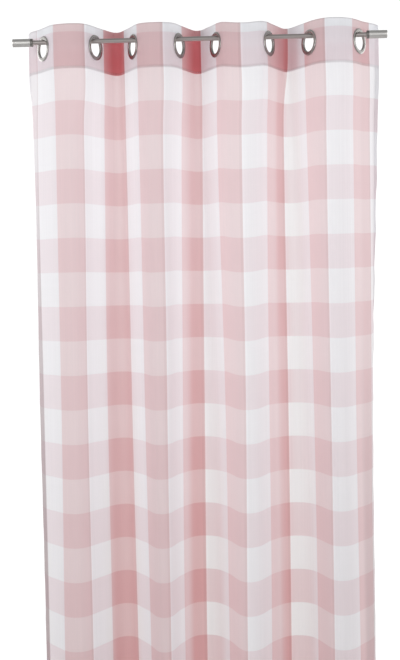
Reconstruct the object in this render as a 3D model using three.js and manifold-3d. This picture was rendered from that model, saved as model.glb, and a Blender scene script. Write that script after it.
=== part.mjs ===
// Checked curtain of light cotton, hung by eight metal eyelets from a thin steel rod.
// Millimetres. The origin is the middle of the rod's axis, +X runs along the rod,
// +Y points to the back of the curtain and +Z points up.

import * as THREE from 'three';
import { mergeVertices } from 'three/addons/utils/BufferGeometryUtils.js';
import Module from 'manifold-3d';

// Driving dimensions of the cloth, as it is cut and hemmed
const CLOTH_WIDTH = 1400;
const CLOTH_DROP = 2400;
const HEADING = 103;
const SIDE_HEM = 25;
const BOTTOM_HEM = 80;
const SINGLE = 1.2;
const DOUBLE = 2.2;

// Eyelets, set along the heading at an even pitch
const EYELET_COUNT = 8;
const FIRST_EYELET = 100;
const EYELET_PITCH = (CLOTH_WIDTH - 2 * FIRST_EYELET) / (EYELET_COUNT - 1);
const EYELET_DROP = 49;
const EYELET_BORE = 21;
const EYELET_RIM = 29.5;
const EYELET_DEPTH = 5.6;
const CLOTH_HOLE = 25;
const GAP = 0.3;

// Rod and its plain end caps
const ROD_RADIUS = 5.5;
const CAP_RADIUS = 9.5;
const CAP_LENGTH = 48;
const HALF_WIDTH = 438.5;
const CAP_END = 8;
const CAP_EDGE = 1.2;

// The eyelets ride on top of the rod, so their centres lie below its axis
const BORE_PLAY = 0.5;
const EYELET_Z = ROD_RADIUS + BORE_PLAY - EYELET_BORE;
const TOP_Z = EYELET_Z + EYELET_DROP;

// Level sections through the hanging cloth. Each has a fold line below each eyelet, where the
// cloth crosses the plane of the rod: x is where it hangs, lean is its angle to the rod in
// degrees, and slip is how far it has moved along the cloth. flat is the straight stretch on
// either side of the line, and edges gives the lean of the left and right selvedge.
const SECTIONS = [
  {
    name: 'heading', drop: HEADING + 6, flat: 32, edges: [72, 60],
    x: [-367, -243, -156, -46, 38, 164, 256, 374],
    lean: [55, 64, 63, 66, 63, 63, 58, 56],
    slip: [0, 0, 0, 0, 0, 0, 0, 0],
  },
  {
    name: 'shoulder', drop: 240, flat: 25, edges: [102, 64],
    x: [-369, -249, -156, -50, 37, 160, 255, 371],
    lean: [51, 60, 63, 64, 64, 62, 62, 56],
    slip: [0, 1, 2, 4, 2, 3, 0, 2],
  },
  {
    name: 'middle', drop: 880, flat: 14, edges: [92, 86],
    x: [-366, -251, -153, -54, 48, 157, 262, 367],
    lean: [52, 62, 63, 68, 62, 63, 68, 57],
    slip: [0, 1, 0, 12, 9, 8, 2, 2],
  },
  {
    name: 'low', drop: 1440, flat: 12, edges: [86, 88],
    x: [-364, -249, -148, -57, 52, 155, 262, 366],
    lean: [57, 63, 65, 72, 66, 62, 70, 60],
    slip: [0, 0, 0, 13, 16, 10, 3, 1],
  },
  {
    name: 'hem', drop: CLOTH_DROP, flat: 12, edges: [74, 80],
    x: [-358, -245, -142, -60, 56, 150, 260, 362],
    lean: [60, 58, 66, 66, 64, 57, 66, 62],
    slip: [0, -4, 4, 10, 20, 12, 8, 0],
  },
];

// How far the top fold hangs below its height at the eyelets: at the left edge, on the crest of
// each fold between two eyelets, and at the right edge
const TOP_SAG = [-5.5, 2, -1.5, 6, -1.5, 9, -0.5, 4.5, -6];

// Steps of the cloth's mesh: across the flat of a fold line, round half a fold, and down
const FLAT_STEPS = 1;
const BEND_STEPS = 5;
const BEND_CROWDING = 1.5;
const SHARPNESS_LIMIT = 12;
const ROW_DROPS = [
  0, HEADING - 1, HEADING + 1, 160, 240, 340, 480, 660, 860, 1060, 1260, 1460, 1680, 1900, 2120,
  CLOTH_DROP - BOTTOM_HEM - 1, CLOTH_DROP - BOTTOM_HEM + 1, CLOTH_DROP,
];
const MARGIN_PLACES = [0, SIDE_HEM - 1, SIDE_HEM + 1, 46];

const radians = THREE.MathUtils.degToRad;

const cloth = new THREE.MeshStandardMaterial({ color: '#e8cfd0', roughness: 0.9, metalness: 0 });
const nickel = new THREE.MeshStandardMaterial({ color: '#a8a49d', roughness: 0.32, metalness: 1 });
const steel = new THREE.MeshStandardMaterial({ color: '#aaa8a2', roughness: 0.36, metalness: 1 });

const wasm = await Module();
wasm.setup();

// Smooth value of a table column at any drop, steady above the first level and below the last
function blend(levels, values, drop) {
  const last = levels.length - 1;
  if (drop <= levels[0]) return values[0];
  if (drop >= levels[last]) return values[last];
  const i = levels.findIndex((level, n) => drop < levels[n + 1]);
  const slope = (n) => {
    if (n === 0 || n === last) return 0;
    return (values[n + 1] - values[n - 1]) / (levels[n + 1] - levels[n - 1]);
  };
  const step = levels[i + 1] - levels[i];
  const t = (drop - levels[i]) / step;
  const rise = values[i + 1] - values[i];
  const easing = t * t * (3 - 2 * t);
  const start = slope(i) * step * t * (1 - t) * (1 - t);
  const end = slope(i + 1) * step * t * t * (t - 1);
  return values[i] + rise * easing + start + end;
}

// The fold lines, leans and edges at any drop below the top fold
function sectionAt(drop) {
  const levels = SECTIONS.map((section) => section.drop);
  const column = (pick) => blend(levels, SECTIONS.map(pick), drop);
  const lines = [];
  for (let i = 0; i < EYELET_COUNT; i += 1) {
    const side = i % 2 === 0 ? 1 : -1;
    lines.push({
      side,
      along: FIRST_EYELET + EYELET_PITCH * i + column((section) => section.slip[i]),
      x: column((section) => section.x[i]),
      lean: radians(column((section) => section.lean[i])),
    });
  }
  return {
    lines,
    flat: column((section) => section.flat),
    leftEdge: radians(column((section) => section.edges[0])),
    rightEdge: radians(column((section) => section.edges[1])),
  };
}

// How the lean dies away from 1 beside a fold line to 0 on the crest: the higher the sharpness,
// the longer the cloth stays straight, and below 0 the crest is broad and flat
function bend(part, sharpness) {
  if (Math.abs(sharpness) < 0.001) return part;
  if (sharpness > 0) return Math.tanh(sharpness * part) / Math.tanh(sharpness);
  return Math.sinh(-sharpness * part) / Math.sinh(-sharpness);
}

// Mean sine and cosine of the lean over half a fold
function bendMeans(lean, sharpness) {
  const samples = 40;
  let sine = 0;
  let cosine = 0;
  for (let i = 0; i < samples; i += 1) {
    const angle = lean * bend((i + 0.5) / samples, sharpness);
    sine += Math.sin(angle) / samples;
    cosine += Math.cos(angle) / samples;
  }
  return { sine, cosine };
}

// The sharpness and crest place that bring the cloth between two fold lines to its chord,
// with its length kept and both ends in the plane of the rod
function solveFold(a, b, flat) {
  const length = b.along - a.along - 2 * flat;
  const chord = b.x - a.x - flat * (Math.cos(a.lean) + Math.cos(b.lean));
  const offset = flat * (Math.sin(b.lean) - Math.sin(a.lean));
  let low = -SHARPNESS_LIMIT;
  let high = SHARPNESS_LIMIT;
  let crest = 0.5;
  for (let i = 0; i < 40; i += 1) {
    const sharpness = (low + high) / 2;
    const first = bendMeans(a.lean, sharpness);
    const second = bendMeans(b.lean, sharpness);
    crest = (second.sine * length + offset) / (length * (first.sine + second.sine));
    const reach = length * (crest * first.cosine + (1 - crest) * second.cosine);
    if (reach > chord) low = sharpness;
    else high = sharpness;
  }
  return { sharpness: (low + high) / 2, crest };
}

// Stretches of one section from edge to edge: each has its place on the flat cloth, the stops of
// the mesh as fractions of its length, and the lean at any fraction
function stretches(section) {
  const { lines, flat, leftEdge, rightEdge } = section;
  const list = [];
  const ease = (t) => t * t * (3 - 2 * t);
  const first = lines[0];
  const last = lines[EYELET_COUNT - 1];
  const margin = first.along - flat;
  const tail = CLOTH_WIDTH - last.along - flat;
  const turn = (from, to, t) => from + (to - from) * ease(t);
  list.push({
    from: 0,
    to: margin,
    stops: [...MARGIN_PLACES.slice(1).map((place) => place / margin), 1],
    lean: (t) => turn(leftEdge, first.lean, t),
  });
  lines.forEach((line, i) => {
    list.push({
      from: line.along - flat,
      to: line.along + flat,
      stops: Array.from({ length: FLAT_STEPS }, (_, n) => (n + 1) / FLAT_STEPS),
      lean: () => line.side * line.lean,
    });
    if (i === EYELET_COUNT - 1) return;
    const next = lines[i + 1];
    const { sharpness, crest } = solveFold(line, next, flat);
    const start = line.along + flat;
    const end = next.along - flat;
    const top = start + crest * (end - start);
    const steps = Array.from({ length: BEND_STEPS }, (_, n) => (n + 1) / BEND_STEPS);
    list.push({
      from: start,
      to: top,
      stops: steps.map((t) => 1 - (1 - t) ** BEND_CROWDING),
      lean: (t) => line.side * line.lean * bend(1 - t, sharpness),
    });
    list.push({
      from: top,
      to: end,
      stops: steps.map((t) => t ** BEND_CROWDING),
      lean: (t) => next.side * next.lean * bend(t, sharpness),
    });
  });
  list.push({
    from: last.along + flat,
    to: CLOTH_WIDTH,
    stops: [...MARGIN_PLACES.map((place) => 1 - place / tail).reverse()],
    lean: (t) => last.side * turn(last.lean, rightEdge, t),
  });
  return list;
}

// Points of the face side of the cloth along one section, with the lean at each
function traceSection(drop) {
  const section = sectionAt(drop);
  const slices = 16;
  const points = [{ along: 0, x: 0, y: 0, lean: section.leftEdge }];
  let anchor = null;
  for (const stretch of stretches(section)) {
    const length = stretch.to - stretch.from;
    let done = 0;
    for (const stop of stretch.stops) {
      const previous = points[points.length - 1];
      const point = { along: stretch.from + length * stop, x: previous.x, y: previous.y };
      for (let i = 0; i < slices; i += 1) {
        const angle = stretch.lean(done + ((stop - done) * (i + 0.5)) / slices);
        const piece = (length * (stop - done)) / slices;
        point.x += Math.cos(angle) * piece;
        point.y -= Math.sin(angle) * piece;
      }
      point.lean = stretch.lean(stop);
      points.push(point);
      done = stop;
    }
    if (anchor === null) anchor = points[points.length - 1];
  }
  const { lines, flat } = section;
  const shiftX = lines[0].x - flat * Math.cos(lines[0].lean) - anchor.x;
  const shiftY = flat * Math.sin(lines[0].lean) - anchor.y;
  return points.map((point) => ({ ...point, x: point.x + shiftX, y: point.y + shiftY }));
}

// How far the cloth hangs down at a place along it, against its height at the eyelets
function sagAt(along) {
  const wave = (share) => Math.sin(Math.PI * share) ** 2;
  const place = (along - FIRST_EYELET) / EYELET_PITCH;
  const past = along - CLOTH_WIDTH + FIRST_EYELET;
  if (place < 0) return TOP_SAG[0] * wave(0.5 - along / FIRST_EYELET / 2);
  if (past > 0) return TOP_SAG[EYELET_COUNT] * wave(past / FIRST_EYELET / 2);
  const fold = Math.floor(place);
  return TOP_SAG[fold + 1] * wave(place - fold);
}

// Two layers in the heading and hems, one elsewhere
function thicknessAt(along, drop) {
  const sideHem = along < SIDE_HEM || along > CLOTH_WIDTH - SIDE_HEM;
  const turned = drop < HEADING || drop > CLOTH_DROP - BOTTOM_HEM;
  return sideHem || turned ? DOUBLE : SINGLE;
}

// Closed sheet: a face grid, a back grid one thickness behind it, and four edge walls
function sheetGeometry() {
  const rows = ROW_DROPS.map((drop) => ({ drop, points: traceSection(drop) }));
  const columns = rows[0].points.length;
  const positions = [];
  const indices = [];
  for (const back of [false, true]) {
    for (const { drop, points } of rows) {
      for (const point of points) {
        const depth = back ? thicknessAt(point.along, drop) : 0;
        positions.push(
          point.x + Math.sin(point.lean) * depth,
          point.y + Math.cos(point.lean) * depth,
          TOP_Z - drop - sagAt(point.along),
        );
      }
    }
  }
  const layer = columns * rows.length;
  const at = (row, column, back) => row * columns + column + (back ? layer : 0);
  const quad = (a, b, c, d) => indices.push(a, b, c, a, c, d);
  for (let r = 0; r < rows.length - 1; r += 1) {
    for (let c = 0; c < columns - 1; c += 1) {
      quad(at(r, c), at(r + 1, c), at(r + 1, c + 1), at(r, c + 1));
      quad(at(r, c, true), at(r, c + 1, true), at(r + 1, c + 1, true), at(r + 1, c, true));
    }
    const end = columns - 1;
    quad(at(r, 0), at(r, 0, true), at(r + 1, 0, true), at(r + 1, 0));
    quad(at(r, end), at(r + 1, end), at(r + 1, end, true), at(r, end, true));
  }
  const foot = rows.length - 1;
  for (let c = 0; c < columns - 1; c += 1) {
    quad(at(0, c), at(0, c + 1), at(0, c + 1, true), at(0, c, true));
    quad(at(foot, c), at(foot, c, true), at(foot, c + 1, true), at(foot, c + 1));
  }
  const geometry = new THREE.BufferGeometry();
  geometry.setAttribute('position', new THREE.Float32BufferAttribute(positions, 3));
  geometry.setIndex(indices);
  return geometry;
}

function toSolid(geometry) {
  const bare = geometry.clone();
  bare.deleteAttribute('normal');
  bare.deleteAttribute('uv');
  const merged = mergeVertices(bare);
  return new wasm.Manifold(new wasm.Mesh({
    numProp: 3,
    vertProperties: new Float32Array(merged.attributes.position.array),
    triVerts: new Uint32Array(merged.index.array),
  }));
}

function toGeometry(solid) {
  const mesh = solid.getMesh();
  const geometry = new THREE.BufferGeometry();
  geometry.setAttribute('position', new THREE.Float32BufferAttribute(mesh.vertProperties, 3));
  geometry.setIndex([...mesh.triVerts]);
  geometry.computeVertexNormals();
  return geometry;
}

// Where each eyelet sits: in the middle of the doubled heading, square to the cloth there
function eyeletPlaces() {
  return sectionAt(EYELET_DROP).lines.map(({ x, lean, side }) => {
    const angle = side * lean;
    const depth = DOUBLE / 2;
    return {
      position: new THREE.Vector3(x + Math.sin(angle) * depth, Math.cos(angle) * depth, EYELET_Z),
      turn: -angle,
    };
  });
}

function curtainPanel(places) {
  const punchLength = 14;
  const punchSides = 28;
  let solid = toSolid(sheetGeometry());
  for (const { position, turn } of places) {
    const punch = new THREE.CylinderGeometry(CLOTH_HOLE, CLOTH_HOLE, punchLength, punchSides);
    punch.rotateZ(turn);
    punch.translate(position.x, position.y, position.z);
    solid = solid.subtract(toSolid(punch));
  }
  return toGeometry(solid);
}

// Two rounded flanges joined by a barrel, with a groove that holds the edge of the cloth
function eyeletGeometry() {
  const groove = DOUBLE / 2 + GAP;
  const flange = EYELET_DEPTH / 2;
  const round = 1.2;
  const lip = flange - round;
  const half = [
    [EYELET_BORE, lip],
    [EYELET_BORE + round, flange],
    [EYELET_RIM - 1.5 * round, flange],
    [EYELET_RIM, groove],
    [CLOTH_HOLE - GAP, groove],
  ];
  const mirrored = half.map(([radius, height]) => [radius, -height]).reverse();
  const outline = [...half, ...mirrored, half[0]];
  const profile = outline.map(([radius, height]) => new THREE.Vector2(radius, height));
  return new THREE.LatheGeometry(profile.reverse(), 24);
}

// Solid of revolution about X, from points of [place along the rod, radius]
function turned(outline, sides) {
  const profile = outline.map(([place, radius]) => new THREE.Vector2(radius, place));
  const geometry = new THREE.LatheGeometry(profile, sides);
  geometry.rotateZ(-Math.PI / 2);
  return geometry;
}

function rodGeometry() {
  const end = HALF_WIDTH - CAP_END - GAP;
  return turned([[-end, 0], [-end, ROD_RADIUS], [end, ROD_RADIUS], [end, 0]], 24);
}

// Sleeve with one closed end, pushed over the end of the rod
function capGeometry() {
  const bore = ROD_RADIUS + GAP + 0.1;
  return turned([
    [CAP_LENGTH - CAP_END, 0],
    [CAP_LENGTH - CAP_END, bore],
    [0, bore],
    [0, CAP_RADIUS - CAP_EDGE],
    [CAP_EDGE, CAP_RADIUS],
    [CAP_LENGTH - CAP_EDGE, CAP_RADIUS],
    [CAP_LENGTH, CAP_RADIUS - CAP_EDGE],
    [CAP_LENGTH, 0],
  ], 28);
}

function named(name, geometry, material) {
  const mesh = new THREE.Mesh(geometry, material);
  mesh.name = name;
  return mesh;
}

const curtain = new THREE.Group();
const places = eyeletPlaces();

curtain.add(named('curtain_panel', curtainPanel(places), cloth));

places.forEach(({ position, turn }, i) => {
  const eyelet = named(`eyelet_${i + 1}`, eyeletGeometry(), nickel);
  eyelet.position.copy(position);
  eyelet.rotation.z = turn;
  curtain.add(eyelet);
});

curtain.add(named('rod', rodGeometry(), steel));

const rightCap = named('end_cap_right', capGeometry(), steel);
rightCap.position.x = HALF_WIDTH - CAP_LENGTH;
curtain.add(rightCap);

const leftCap = named('end_cap_left', capGeometry(), steel);
leftCap.position.x = CAP_LENGTH - HALF_WIDTH;
leftCap.rotation.z = Math.PI;
curtain.add(leftCap);

export default curtain;
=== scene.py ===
"""Looks of a checked eyelet curtain on its rod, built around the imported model."""

import math

import bpy
import numpy as np
from bpy.props import (
    FloatProperty,
    FloatVectorProperty,
    IntProperty,
    PointerProperty,
)
from mathutils import Matrix, Vector


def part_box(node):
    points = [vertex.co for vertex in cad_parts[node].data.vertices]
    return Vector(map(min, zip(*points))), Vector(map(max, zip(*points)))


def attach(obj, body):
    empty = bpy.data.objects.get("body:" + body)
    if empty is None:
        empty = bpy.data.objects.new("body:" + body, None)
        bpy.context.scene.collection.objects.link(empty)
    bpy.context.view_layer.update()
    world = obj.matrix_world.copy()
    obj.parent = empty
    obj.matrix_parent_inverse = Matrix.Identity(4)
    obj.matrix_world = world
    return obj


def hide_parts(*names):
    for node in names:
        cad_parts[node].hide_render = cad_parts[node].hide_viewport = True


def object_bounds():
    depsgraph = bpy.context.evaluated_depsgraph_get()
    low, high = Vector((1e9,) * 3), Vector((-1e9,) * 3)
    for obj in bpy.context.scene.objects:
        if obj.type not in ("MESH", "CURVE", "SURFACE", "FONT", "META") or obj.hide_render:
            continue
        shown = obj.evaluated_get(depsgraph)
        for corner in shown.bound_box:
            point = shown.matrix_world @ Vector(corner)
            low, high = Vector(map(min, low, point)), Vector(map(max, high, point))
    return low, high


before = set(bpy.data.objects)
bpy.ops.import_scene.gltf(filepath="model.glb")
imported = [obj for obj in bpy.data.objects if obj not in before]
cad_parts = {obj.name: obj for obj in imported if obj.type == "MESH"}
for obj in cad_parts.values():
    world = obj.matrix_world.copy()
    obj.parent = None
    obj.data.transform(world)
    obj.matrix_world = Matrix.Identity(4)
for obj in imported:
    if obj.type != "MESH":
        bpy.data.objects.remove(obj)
CAD_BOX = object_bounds()

bl_info = {
    "name": "Checked Curtain",
    "version": (1, 0, 0),
    "blender": (4, 5, 0),
    "location": "View3D > Sidebar > Curtain",
    "description": "Builds a light checked curtain with eyelets on a thin rod",
    "category": "Object",
}

MM = 0.001
EYELETS = 8
ROD_LOW, ROD_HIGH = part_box("rod")
CAP_LOW, CAP_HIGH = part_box("end_cap_right")
RING_LOW, RING_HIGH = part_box("eyelet_1")
ROD_RADIUS = (ROD_HIGH[2] - ROD_LOW[2]) / 2
CAP_RADIUS = (CAP_HIGH[2] - CAP_LOW[2]) / 2
RING_RADIUS = (RING_HIGH[2] - RING_LOW[2]) / 2
RING_HEIGHT = (RING_LOW[2] + RING_HIGH[2]) / 2

# Level sections through the hanging cloth, in millimetres and degrees. Each has a fold line
# below each eyelet, where the cloth crosses the plane of the rod: x is where it hangs, lean is
# its angle to the rod, and slip is how far it has moved along the cloth. flat is the straight
# stretch on either side of the line, and edges gives the lean of the two selvedges.
SECTIONS = (
    {
        "drop": 109, "flat": 32, "edges": (72, 60),
        "x": (-367, -243, -156, -46, 38, 164, 256, 374),
        "lean": (55, 64, 63, 66, 63, 63, 58, 56),
        "slip": (0, 0, 0, 0, 0, 0, 0, 0),
    },
    {
        "drop": 240, "flat": 25, "edges": (102, 64),
        "x": (-369, -249, -156, -50, 37, 160, 255, 371),
        "lean": (51, 60, 63, 64, 64, 62, 62, 56),
        "slip": (0, 1, 2, 4, 2, 3, 0, 2),
    },
    {
        "drop": 880, "flat": 14, "edges": (92, 86),
        "x": (-366, -251, -153, -54, 48, 157, 262, 367),
        "lean": (52, 62, 63, 68, 62, 63, 68, 57),
        "slip": (0, 1, 0, 12, 9, 8, 2, 2),
    },
    {
        "drop": 1440, "flat": 12, "edges": (86, 88),
        "x": (-364, -249, -148, -57, 52, 155, 262, 366),
        "lean": (57, 63, 65, 72, 66, 62, 70, 60),
        "slip": (0, 0, 0, 13, 16, 10, 3, 1),
    },
    {
        "drop": 2400, "flat": 12, "edges": (74, 80),
        "x": (-358, -245, -142, -60, 56, 150, 260, 362),
        "lean": (60, 58, 66, 66, 64, 57, 66, 62),
        "slip": (0, -4, 4, 10, 20, 12, 8, 0),
    },
)

# How far the top fold hangs below its height at the eyelets, in millimetres: at the left edge, on
# the crest of each fold between two eyelets, and at the right edge
TOP_SAG = (-5.5, 2, -1.5, 6, -1.5, 9, -0.5, 4.5, -6)

# Soft creases in the cloth, in millimetres. A row has the place along the cloth and the drop of
# the middle, the length, the width, the depth, which is negative for a ridge, and how far the
# crease wanders along the cloth by its lower end.
CREASES = (
    (46, 620, 900, 20, 2.4, 14),
    (226, 470, 620, 26, -1.8, -12),
    (372, 900, 1100, 18, 1.8, 10),
    (560, 700, 900, 24, -2.0, 16),
    (742, 1250, 1200, 20, 2.0, -14),
    (905, 560, 760, 22, 1.6, 12),
    (1058, 1400, 1300, 22, -2.2, -10),
    (1216, 800, 1000, 26, 2.0, -16),
    (1348, 700, 1000, 18, -1.8, 8),
    (300, 1900, 900, 24, 2.2, 18),
    (660, 2050, 700, 22, -1.8, -14),
    (1000, 2000, 800, 24, 2.0, 12),
)

# Painted light and shade on the cloth, with places in millimetres along it. Some back folds are paler
# on the right of their crest, a painted light: the crest's place, and the drops between which it goes
LIT_SIDES = ((380, 1000, 2000), (706, 800, 1350), (1036, 800, 1350))
# Some have a line of stronger painted shade near their crest: its place, and its strength high up and
# lower down
SHADE_LINES = ((695, 0.12, 0.22), (1022, 0.3, 0.18))
# On the right side of the third back fold, painted shade in the heading and painted warm light below it
THIRD_FOLD_SIDE = (1028, 1042, 1070, 1095)
# Depths behind the rod between which the painted shade grows: deep red in the heading, rose below it
HEADING_DEPTHS = (-6, 68)
FOLD_DEPTHS = (14, 56)
# Where the heading's painted red shade halves, along the cloth, and where the painted shade under the
# top fold is, down it
DEEP_SHADE_HALVES = (900, 960)
TOP_SHADE = (28, 12)
# Drops between which grow the painted rose shade, its part that lies on all the cloth, and the painted
# warm light on the white, and between which the lines of painted shade change
FOLD_SHADE_GROWS = (200, 1900)
SHADE_EVERYWHERE_GROWS = (500, 2300)
WARM_LIGHT_GROWS = (300, 1300)
SHADE_LINES_CHANGE = (300, 900)
# How strongly painted grey shade marks the seam, the bottom hem, the right edge, the top fold and the
# shade under it
SEAM_GREY = 0.25
FOOT_GREY = 0.25
EDGE_GREY = 0.18
TOP_GREY = 0.3
SHADE_GREY = 0.4

# The weave: the soft edge of a stripe and how far it wanders, in metres
STRIPE_EDGE = 0.0016
STRIPE_WANDER = 0.0008
# Cycles of noise in a metre, across the yarns and along them
SLUB_GRAIN = (900.0, 5.0)
STREAK_GRAIN = (210.0, 1.6)
YARN_GRAIN = (1700.0, 60.0)
# How far slubs of each yarn and streaks down the cloth change its colour
WARP_SLUB = 0.16
WEFT_SLUB = 0.12
STREAK = 0.24
# Painted light: the warp is paler up to this place along the cloth, in metres, and by this share
LIT_EDGE_END = 0.078
LIT_EDGE = 0.85

# A tint that changes nothing, the thread of the seams, and the shade on the caps' inner ends
PLAIN = (1.0, 1.0, 1.0, 1.0)
THREAD_COLOUR = (0.86, 0.84, 0.85)
END_SHADE_TINT = (0.42, 0.41, 0.4, 1.0)


def length_prop(name, description, default):
    return FloatProperty(name=name, description=description, default=default, unit="LENGTH")


def colour_prop(name, description, default):
    return FloatVectorProperty(
        name=name, description=description, default=default, subtype="COLOR",
    )


class ClothSizes(bpy.types.PropertyGroup):
    width: length_prop("Width", "Flat width from selvedge to selvedge", 1.4)
    drop: length_prop("Drop", "Length from the top fold to the hem", 2.4)
    heading: length_prop("Heading", "Depth of the doubled strip at the top", 0.103)
    side_hem: length_prop("Side hem", "Width of the turned selvedges", 0.025)
    bottom_hem: length_prop("Bottom hem", "Depth of the turned hem", 0.08)
    first_eyelet: length_prop("First eyelet", "Distance of the first eyelet from the selvedge", 0.1)
    eyelet_drop: length_prop("Eyelet drop", "Drop of the eyelets below the top fold", 0.049)
    hole: length_prop("Hole", "Radius of the holes that the eyelets sit in", 0.025)
    stitch: length_prop("Stitch", "Pitch of the seams", 0.004)


class CheckLook(bpy.types.PropertyGroup):
    check: length_prop("Check", "Width of one stripe of the check", 0.08)
    first_stripe: FloatProperty(
        name="First stripe", description="Share of the first stripe left at the selvedge",
        default=0.9,
    )
    first_band: length_prop("First band", "Drop of the first coloured band below the top fold", 0.020)
    white: colour_prop("White", "Undyed yarn", (0.885, 0.892, 0.912))
    warp_tint: colour_prop("Warp tint", "What the dyed warp leaves of the white", (0.952, 0.8, 0.785))
    weft_tint: colour_prop("Weft tint", "What the dyed weft leaves of the white", (0.965, 0.895, 0.915))
    glow_white: colour_prop(
        "Glow of white", "Light that comes through undyed cloth", (0.9, 0.908, 0.928),
    )
    glow_rose: colour_prop("Glow of rose", "Light that comes through dyed cloth", (0.78, 0.61, 0.62))
    # From here to the sheerness, the tints and glows are painted: shade in the heading's back folds, in
    # the back folds below it and on the seams and turned edges, and warm light on the white
    glow_deep_shade: colour_prop(
        "Glow of the heading", "Light that comes through its back folds", (0.76, 0.235, 0.26),
    )
    deep_shade_tint: colour_prop(
        "Deep tint", "What the back folds of the heading leave of the colour", (0.9, 0.36, 0.37),
    )
    glow_fold_shade: colour_prop(
        "Glow of the folds", "Light that comes through the back folds", (0.68, 0.38, 0.38),
    )
    fold_shade_tint: colour_prop("Fold tint", "What the back folds leave of the colour", (0.9, 0.625, 0.615))
    glow_hem_shade: colour_prop(
        "Glow of the hems", "Light that comes through seams and turned edges", (0.36, 0.31, 0.325),
    )
    warm_light_tint: colour_prop(
        "Cream tint", "What the back folds leave of the undyed yarn", (1.0, 0.985, 0.93),
    )
    hem_shade_tint: colour_prop(
        "Hem tint", "What seams and turned edges leave of the colour", (0.56, 0.51, 0.52),
    )
    sheer: FloatProperty(
        name="Sheerness", description="Share of the light that goes through the cloth",
        default=0.5, subtype="FACTOR",
    )


class MetalLook(bpy.types.PropertyGroup):
    nickel: colour_prop("Nickel", "Satin plate of the eyelets", (0.35, 0.34, 0.325))
    steel: colour_prop("Steel", "Brushed rod", (0.5, 0.455, 0.44))
    cap: colour_prop("Cap", "Satin steel of the end caps", (0.66, 0.65, 0.63))
    sides: IntProperty(
        name="Sides", description="Steps round the turned metal", default=64,
    )


class StageLook(bpy.types.PropertyGroup):
    camera: FloatVectorProperty(
        name="Camera", description="Place of the camera", subtype="XYZ",
        default=(0.0962, -3.02, -0.6756),
    )
    turn: FloatProperty(
        name="Turn", description="Turn of the camera to the left",
        default=math.radians(2.0), subtype="ANGLE",
    )
    tilt: FloatProperty(
        name="Tilt", description="Tilt of the camera above level",
        default=math.radians(-0.112), subtype="ANGLE",
    )
    roll: FloatProperty(
        name="Roll", description="Roll of the camera",
        default=math.radians(-0.977), subtype="ANGLE",
    )
    lens: FloatProperty(
        name="Lens", description="Focal length in millimetres on a 36 mm frame", default=70.41,
    )
    floor: colour_prop("Floor", "Colour of the floor", (0.82, 0.82, 0.82))


class Signal:
    """A socket of a shader that can be used in sums."""

    def __init__(self, tree, socket):
        self.tree = tree
        self.socket = socket

    def math(self, operation, *others, clamp=False):
        node = self.tree.nodes.new("ShaderNodeMath")
        node.operation = operation
        node.use_clamp = clamp
        for entry, value in zip(node.inputs, (self, *others)):
            if isinstance(value, Signal):
                self.tree.links.new(value.socket, entry)
            else:
                entry.default_value = value
        return Signal(self.tree, node.outputs[0])

    def __add__(self, other):
        return self.math("ADD", other)

    __radd__ = __add__

    def __mul__(self, other):
        return self.math("MULTIPLY", other)

    __rmul__ = __mul__

    def __sub__(self, other):
        return self.math("SUBTRACT", other)

    def __rsub__(self, other):
        return (self * -1.0).math("ADD", other)

    def clamp(self):
        return self.math("ADD", 0.0, clamp=True)


class Shader:
    """The node tree of one material or world."""

    def __init__(self, owner):
        owner.use_nodes = True
        self.tree = owner.node_tree
        self.tree.nodes.clear()

    def node(self, kind, settings=None, **values):
        """Adds a node. Settings go first, and values go to inputs by name, or by number as _0."""
        made = self.tree.nodes.new(kind)
        for name, value in (settings or {}).items():
            setattr(made, name, value)
        for name, value in values.items():
            entry = made.inputs[int(name[1:])] if name[1:].isdigit() else made.inputs[name]
            if isinstance(value, Signal):
                self.tree.links.new(value.socket, entry)
            else:
                entry.default_value = value
        return made

    def out(self, made, output=0):
        return Signal(self.tree, made.outputs[output])

    def blend(self, factor, first, second, kind="MIX"):
        """Mix of two colours."""
        settings = {"data_type": "RGBA", "blend_type": kind}
        made = self.node("ShaderNodeMix", settings, _0=factor, _6=first, _7=second)
        return self.out(made, 2)

    def tinted(self, first, second, factor=1.0):
        """Product of two colours."""
        return self.blend(factor, first, second, "MULTIPLY")

    def either(self, factor, first, second):
        """Mix of two shaders."""
        return self.out(self.node("ShaderNodeMixShader", None, _0=factor, _1=first, _2=second))

    def noise(self, vector, scale, detail=2.0, rough=0.5):
        made = self.node(
            "ShaderNodeTexNoise", {"noise_dimensions": "3D"},
            Vector=vector, Scale=scale, Detail=detail, Roughness=rough,
        )
        return self.out(made)

    def scaled(self, vector, x, y, z=1.0):
        made = self.node(
            "ShaderNodeVectorMath", {"operation": "MULTIPLY"}, _0=vector, _1=(x, y, z)
        )
        return self.out(made)

    def bump(self, height, strength, distance):
        made = self.node(
            "ShaderNodeBump", None, Strength=strength, Distance=distance, Height=height
        )
        return self.out(made)

    def principled(self, colour, rough, more=None):
        """The surface of most things, with more of its inputs by name."""
        values = {"Base Color": colour, "Roughness": rough, **(more or {})}
        return self.out(self.node("ShaderNodeBsdfPrincipled", None, **values))

    def finish(self, surface):
        self.node("ShaderNodeOutputMaterial", None, Surface=surface)


def rgba(colour, factor=1.0):
    return (*(part * factor for part in colour), 1.0)


def eased(start, end, value):
    """0 at start and 1 at end, with a smooth way between them."""
    t = np.clip((value - start) / (end - start), 0, 1)
    return t * t * (3 - 2 * t)


def band(start, full, fading, end, value):
    """0 outside start and end, and 1 between full and fading."""
    return eased(start, full, value) * eased(end, fading, value)


def add_object(name, data):
    made = bpy.data.objects.new(name, data)
    bpy.context.scene.collection.objects.link(made)
    return made


def in_mm(length):
    """A property's length in millimetres, without the dust of its short floats."""
    return round(length / MM, 3)


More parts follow.
